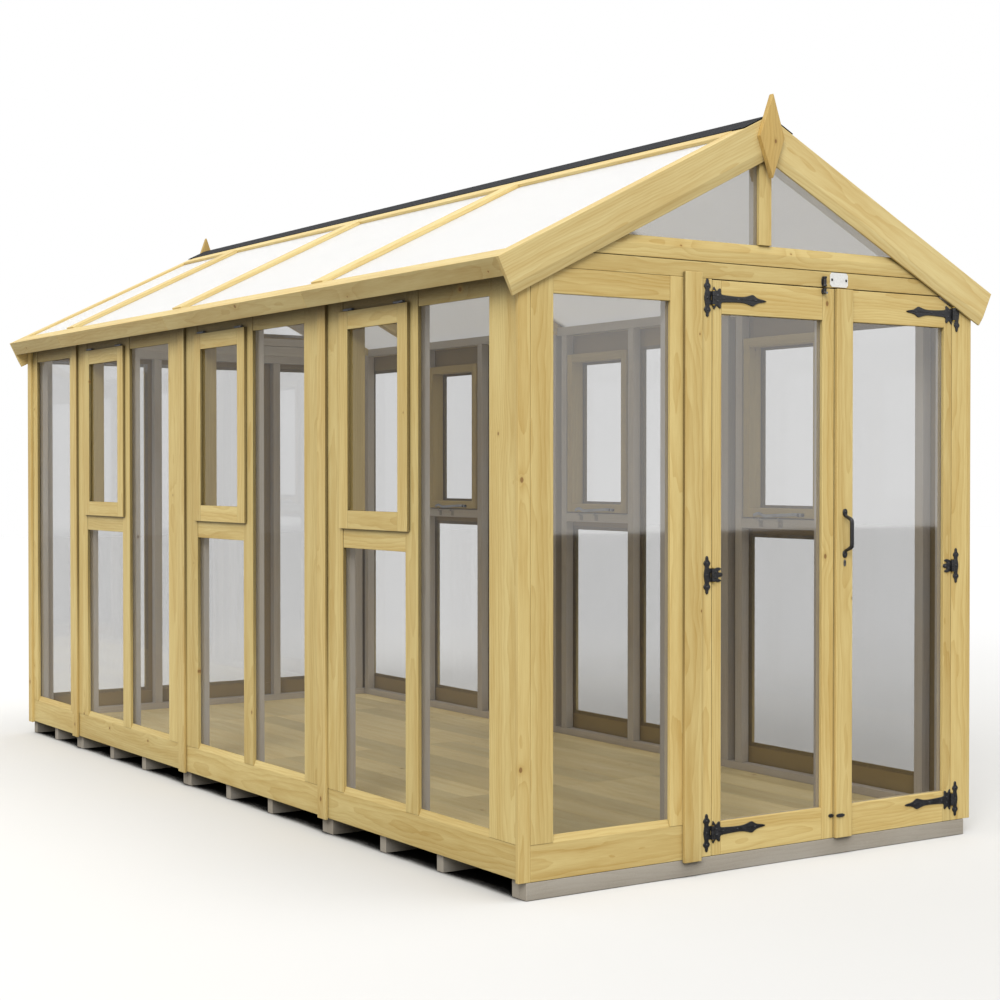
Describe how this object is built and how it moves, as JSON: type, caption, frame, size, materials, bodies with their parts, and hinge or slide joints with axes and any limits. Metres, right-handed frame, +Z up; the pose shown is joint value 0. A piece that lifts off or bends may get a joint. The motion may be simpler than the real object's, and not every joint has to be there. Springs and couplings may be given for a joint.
{
  "type": "wooden greenhouse",
  "caption": "Glazed timber greenhouse with an apex roof, double doors with strap hinges, top-hung opening sashes, boarded floor on joists and pointed finials.",
  "frame": {"origin": "on the ground, in the middle of the object's whole footprint, handle and finials included", "axes": "+Z up; the double doors face -Y; the side with the fixed pane's hinge leaves at the left, seen from the doors, is -X"},
  "size_m": [2.03, 4.2692, 2.421],
  "materials": {
    "floor_joists": "treated sawn softwood, greige",
    "floor_boards": "planed softwood, pale yellow",
    "left_wall_frame": "sawn softwood, grey-brown",
    "right_wall_frame": "sawn softwood, grey-brown",
    "front_wall_frame": "sawn softwood, grey-brown",
    "back_wall_frame": "sawn softwood, grey-brown",
    "left_wall_boards": "planed softwood, pale yellow",
    "right_wall_boards": "planed softwood, pale yellow",
    "front_wall_boards": "planed softwood, pale yellow",
    "back_wall_boards": "planed softwood, pale yellow",
    "cover_strips": "planed softwood, pale yellow",
    "corner_boards": "planed softwood, pale yellow",
    "left_wall_glass": "clear flat glazing",
    "right_wall_glass": "clear flat glazing",
    "end_wall_glass": "clear flat glazing",
    "front_gable_frame": "planed softwood, pale yellow",
    "back_gable_frame": "planed softwood, pale yellow",
    "rafters": "planed softwood, warm yellow",
    "ridge_board": "planed softwood, pale yellow",
    "roof_sheets": "translucent polycarbonate sheet",
    "roof_cover_strips": "planed softwood, pale yellow",
    "eaves_fascias": "planed softwood, pale yellow",
    "bargeboards": "planed softwood, warm yellow",
    "finials": "planed softwood, warm yellow",
    "ridge_cap": "folded metal, dark grey",
    "hinge_leaves": "black japanned iron",
    "hinge_pins": "bright brass",
    "top_bolt_keeper": "black japanned iron",
    "blank_plate": "white enamel, unmarked",
    "plate_screws": "black japanned iron",
    "sash_hinges": "zinc-plated steel",
    "left_door_frame": "planed softwood, pale yellow",
    "left_door_glass": "clear flat glazing",
    "left_door_straps": "black japanned iron",
    "top_bolt_barrel": "black japanned iron",
    "right_door_frame": "planed softwood, pale yellow",
    "right_door_glass": "clear flat glazing",
    "right_door_straps": "black japanned iron",
    "door_handle": "black japanned iron",
    "lock_case": "zinc-plated steel",
    "lock_bolt": "zinc-plated steel",
    "top_bolt_rod": "zinc-plated steel",
    "sash_left_1": "planed softwood, pale yellow",
    "sash_glass_left_1": "clear flat glazing",
    "stay_left_1": "dull grey metal",
    "sash_left_2": "planed softwood, pale yellow",
    "sash_glass_left_2": "clear flat glazing",
    "stay_left_2": "dull grey metal",
    "sash_left_3": "planed softwood, pale yellow",
    "sash_glass_left_3": "clear flat glazing",
    "stay_left_3": "dull grey metal",
    "sash_right_1": "planed softwood, pale yellow",
    "sash_glass_right_1": "clear flat glazing",
    "stay_right_1": "dull grey metal",
    "sash_right_2": "planed softwood, pale yellow",
    "sash_glass_right_2": "clear flat glazing",
    "stay_right_2": "dull grey metal",
    "sash_right_3": "planed softwood, pale yellow",
    "sash_glass_right_3": "clear flat glazing",
    "stay_right_3": "dull grey metal"
  },
  "bodies": {
    "house": {"floor_joists": "floor_joists", "floor_boards": "floor_boards", "left_wall_frame": "left_wall_frame", "right_wall_frame": "right_wall_frame", "front_wall_frame": "front_wall_frame", "back_wall_frame": "back_wall_frame", "left_wall_boards": "left_wall_boards", "right_wall_boards": "right_wall_boards", "front_wall_boards": "front_wall_boards", "back_wall_boards": "back_wall_boards", "cover_strips": "cover_strips", "corner_boards": "corner_boards", "left_wall_glass": "left_wall_glass", "right_wall_glass": "right_wall_glass", "end_wall_glass": "end_wall_glass", "front_gable_frame": "front_gable_frame", "back_gable_frame": "back_gable_frame", "rafters": "rafters", "ridge_board": "ridge_board", "roof_sheets": "roof_sheets", "roof_cover_strips": "roof_cover_strips", "eaves_fascias": "eaves_fascias", "bargeboards": "bargeboards", "finials": "finials", "ridge_cap": "ridge_cap", "hinge_leaves": "hinge_leaves", "hinge_pins": "hinge_pins", "top_bolt_keeper": "top_bolt_keeper", "blank_plate": "blank_plate", "plate_screws": "plate_screws", "sash_hinges": "sash_hinges"},
    "left_door": {"left_door_frame": "left_door_frame", "left_door_glass": "left_door_glass", "left_door_straps": "left_door_straps", "top_bolt_barrel": "top_bolt_barrel"},
    "right_door": {"right_door_frame": "right_door_frame", "right_door_glass": "right_door_glass", "right_door_straps": "right_door_straps", "door_handle": "door_handle", "lock_case": "lock_case"},
    "lock_bolt": {"lock_bolt": "lock_bolt"},
    "top_bolt": {"top_bolt_rod": "top_bolt_rod"},
    "sash_left_1": {"sash_left_1": "sash_left_1", "sash_glass_left_1": "sash_glass_left_1"},
    "stay_left_1": {"stay_left_1": "stay_left_1"},
    "sash_left_2": {"sash_left_2": "sash_left_2", "sash_glass_left_2": "sash_glass_left_2"},
    "stay_left_2": {"stay_left_2": "stay_left_2"},
    "sash_left_3": {"sash_left_3": "sash_left_3", "sash_glass_left_3": "sash_glass_left_3"},
    "stay_left_3": {"stay_left_3": "stay_left_3"},
    "sash_right_1": {"sash_right_1": "sash_right_1", "sash_glass_right_1": "sash_glass_right_1"},
    "stay_right_1": {"stay_right_1": "stay_right_1"},
    "sash_right_2": {"sash_right_2": "sash_right_2", "sash_glass_right_2": "sash_glass_right_2"},
    "stay_right_2": {"stay_right_2": "stay_right_2"},
    "sash_right_3": {"sash_right_3": "sash_right_3", "sash_glass_right_3": "sash_glass_right_3"},
    "stay_right_3": {"stay_right_3": "stay_right_3"}
  },
  "joints": [
    {"name": "left_door_hinge", "type": "hinge", "parent": "house", "child": "left_door", "pos_m": [-0.2145, -2.0892, 0.922], "axis": [0, 0, -1], "range_deg": [0, 110]},
    {"name": "right_door_hinge", "type": "hinge", "parent": "house", "child": "right_door", "pos_m": [0.8415, -2.0892, 0.922], "axis": [0, 0, 1], "range_deg": [0, 110]},
    {"name": "lock_bolt_slide", "type": "slide", "parent": "right_door", "child": "lock_bolt", "axis": [-1, 0, 0], "range_m": [0, 0.02]},
    {"name": "top_bolt_slide", "type": "slide", "parent": "left_door", "child": "top_bolt", "axis": [0, 0, 1], "range_m": [0, 0.015]},
    {"name": "sash_left_1_hinge", "type": "hinge", "parent": "house", "child": "sash_left_1", "pos_m": [-0.93, -1.2282, 1.78], "axis": [0, 1, 0], "range_deg": [0, 55]},
    {"name": "stay_left_1_pivot", "type": "hinge", "parent": "sash_left_1", "child": "stay_left_1", "pos_m": [-0.8548, -1.3632, 1.075], "axis": [0, 0, -1], "range_deg": [0, 90]},
    {"name": "sash_left_2_hinge", "type": "hinge", "parent": "house", "child": "sash_left_2", "pos_m": [-0.93, -0.0482, 1.78], "axis": [0, 1, 0], "range_deg": [0, 55]},
    {"name": "stay_left_2_pivot", "type": "hinge", "parent": "sash_left_2", "child": "stay_left_2", "pos_m": [-0.8548, -0.1832, 1.075], "axis": [0, 0, -1], "range_deg": [0, 90]},
    {"name": "sash_left_3_hinge", "type": "hinge", "parent": "house", "child": "sash_left_3", "pos_m": [-0.93, 1.1318, 1.78], "axis": [0, 1, 0], "range_deg": [0, 55]},
    {"name": "stay_left_3_pivot", "type": "hinge", "parent": "sash_left_3", "child": "stay_left_3", "pos_m": [-0.8548, 0.9968, 1.075], "axis": [0, 0, -1], "range_deg": [0, 90]},
    {"name": "sash_right_1_hinge", "type": "hinge", "parent": "house", "child": "sash_right_1", "pos_m": [0.93, -1.2022, 1.78], "axis": [0, -1, 0], "range_deg": [0, 55]},
    {"name": "stay_right_1_pivot", "type": "hinge", "parent": "sash_right_1", "child": "stay_right_1", "pos_m": [0.8548, -1.3372, 1.075], "axis": [0, 0, 1], "range_deg": [0, 90]},
    {"name": "sash_right_2_hinge", "type": "hinge", "parent": "house", "child": "sash_right_2", "pos_m": [0.93, -0.0222, 1.78], "axis": [0, -1, 0], "range_deg": [0, 55]},
    {"name": "stay_right_2_pivot", "type": "hinge", "parent": "sash_right_2", "child": "stay_right_2", "pos_m": [0.8548, -0.1572, 1.075], "axis": [0, 0, 1], "range_deg": [0, 90]},
    {"name": "sash_right_3_hinge", "type": "hinge", "parent": "house", "child": "sash_right_3", "pos_m": [0.93, 1.1578, 1.78], "axis": [0, -1, 0], "range_deg": [0, 55]},
    {"name": "stay_right_3_pivot", "type": "hinge", "parent": "sash_right_3", "child": "stay_right_3", "pos_m": [0.8548, 1.0228, 1.075], "axis": [0, 0, 1], "range_deg": [0, 90]}
  ]
}
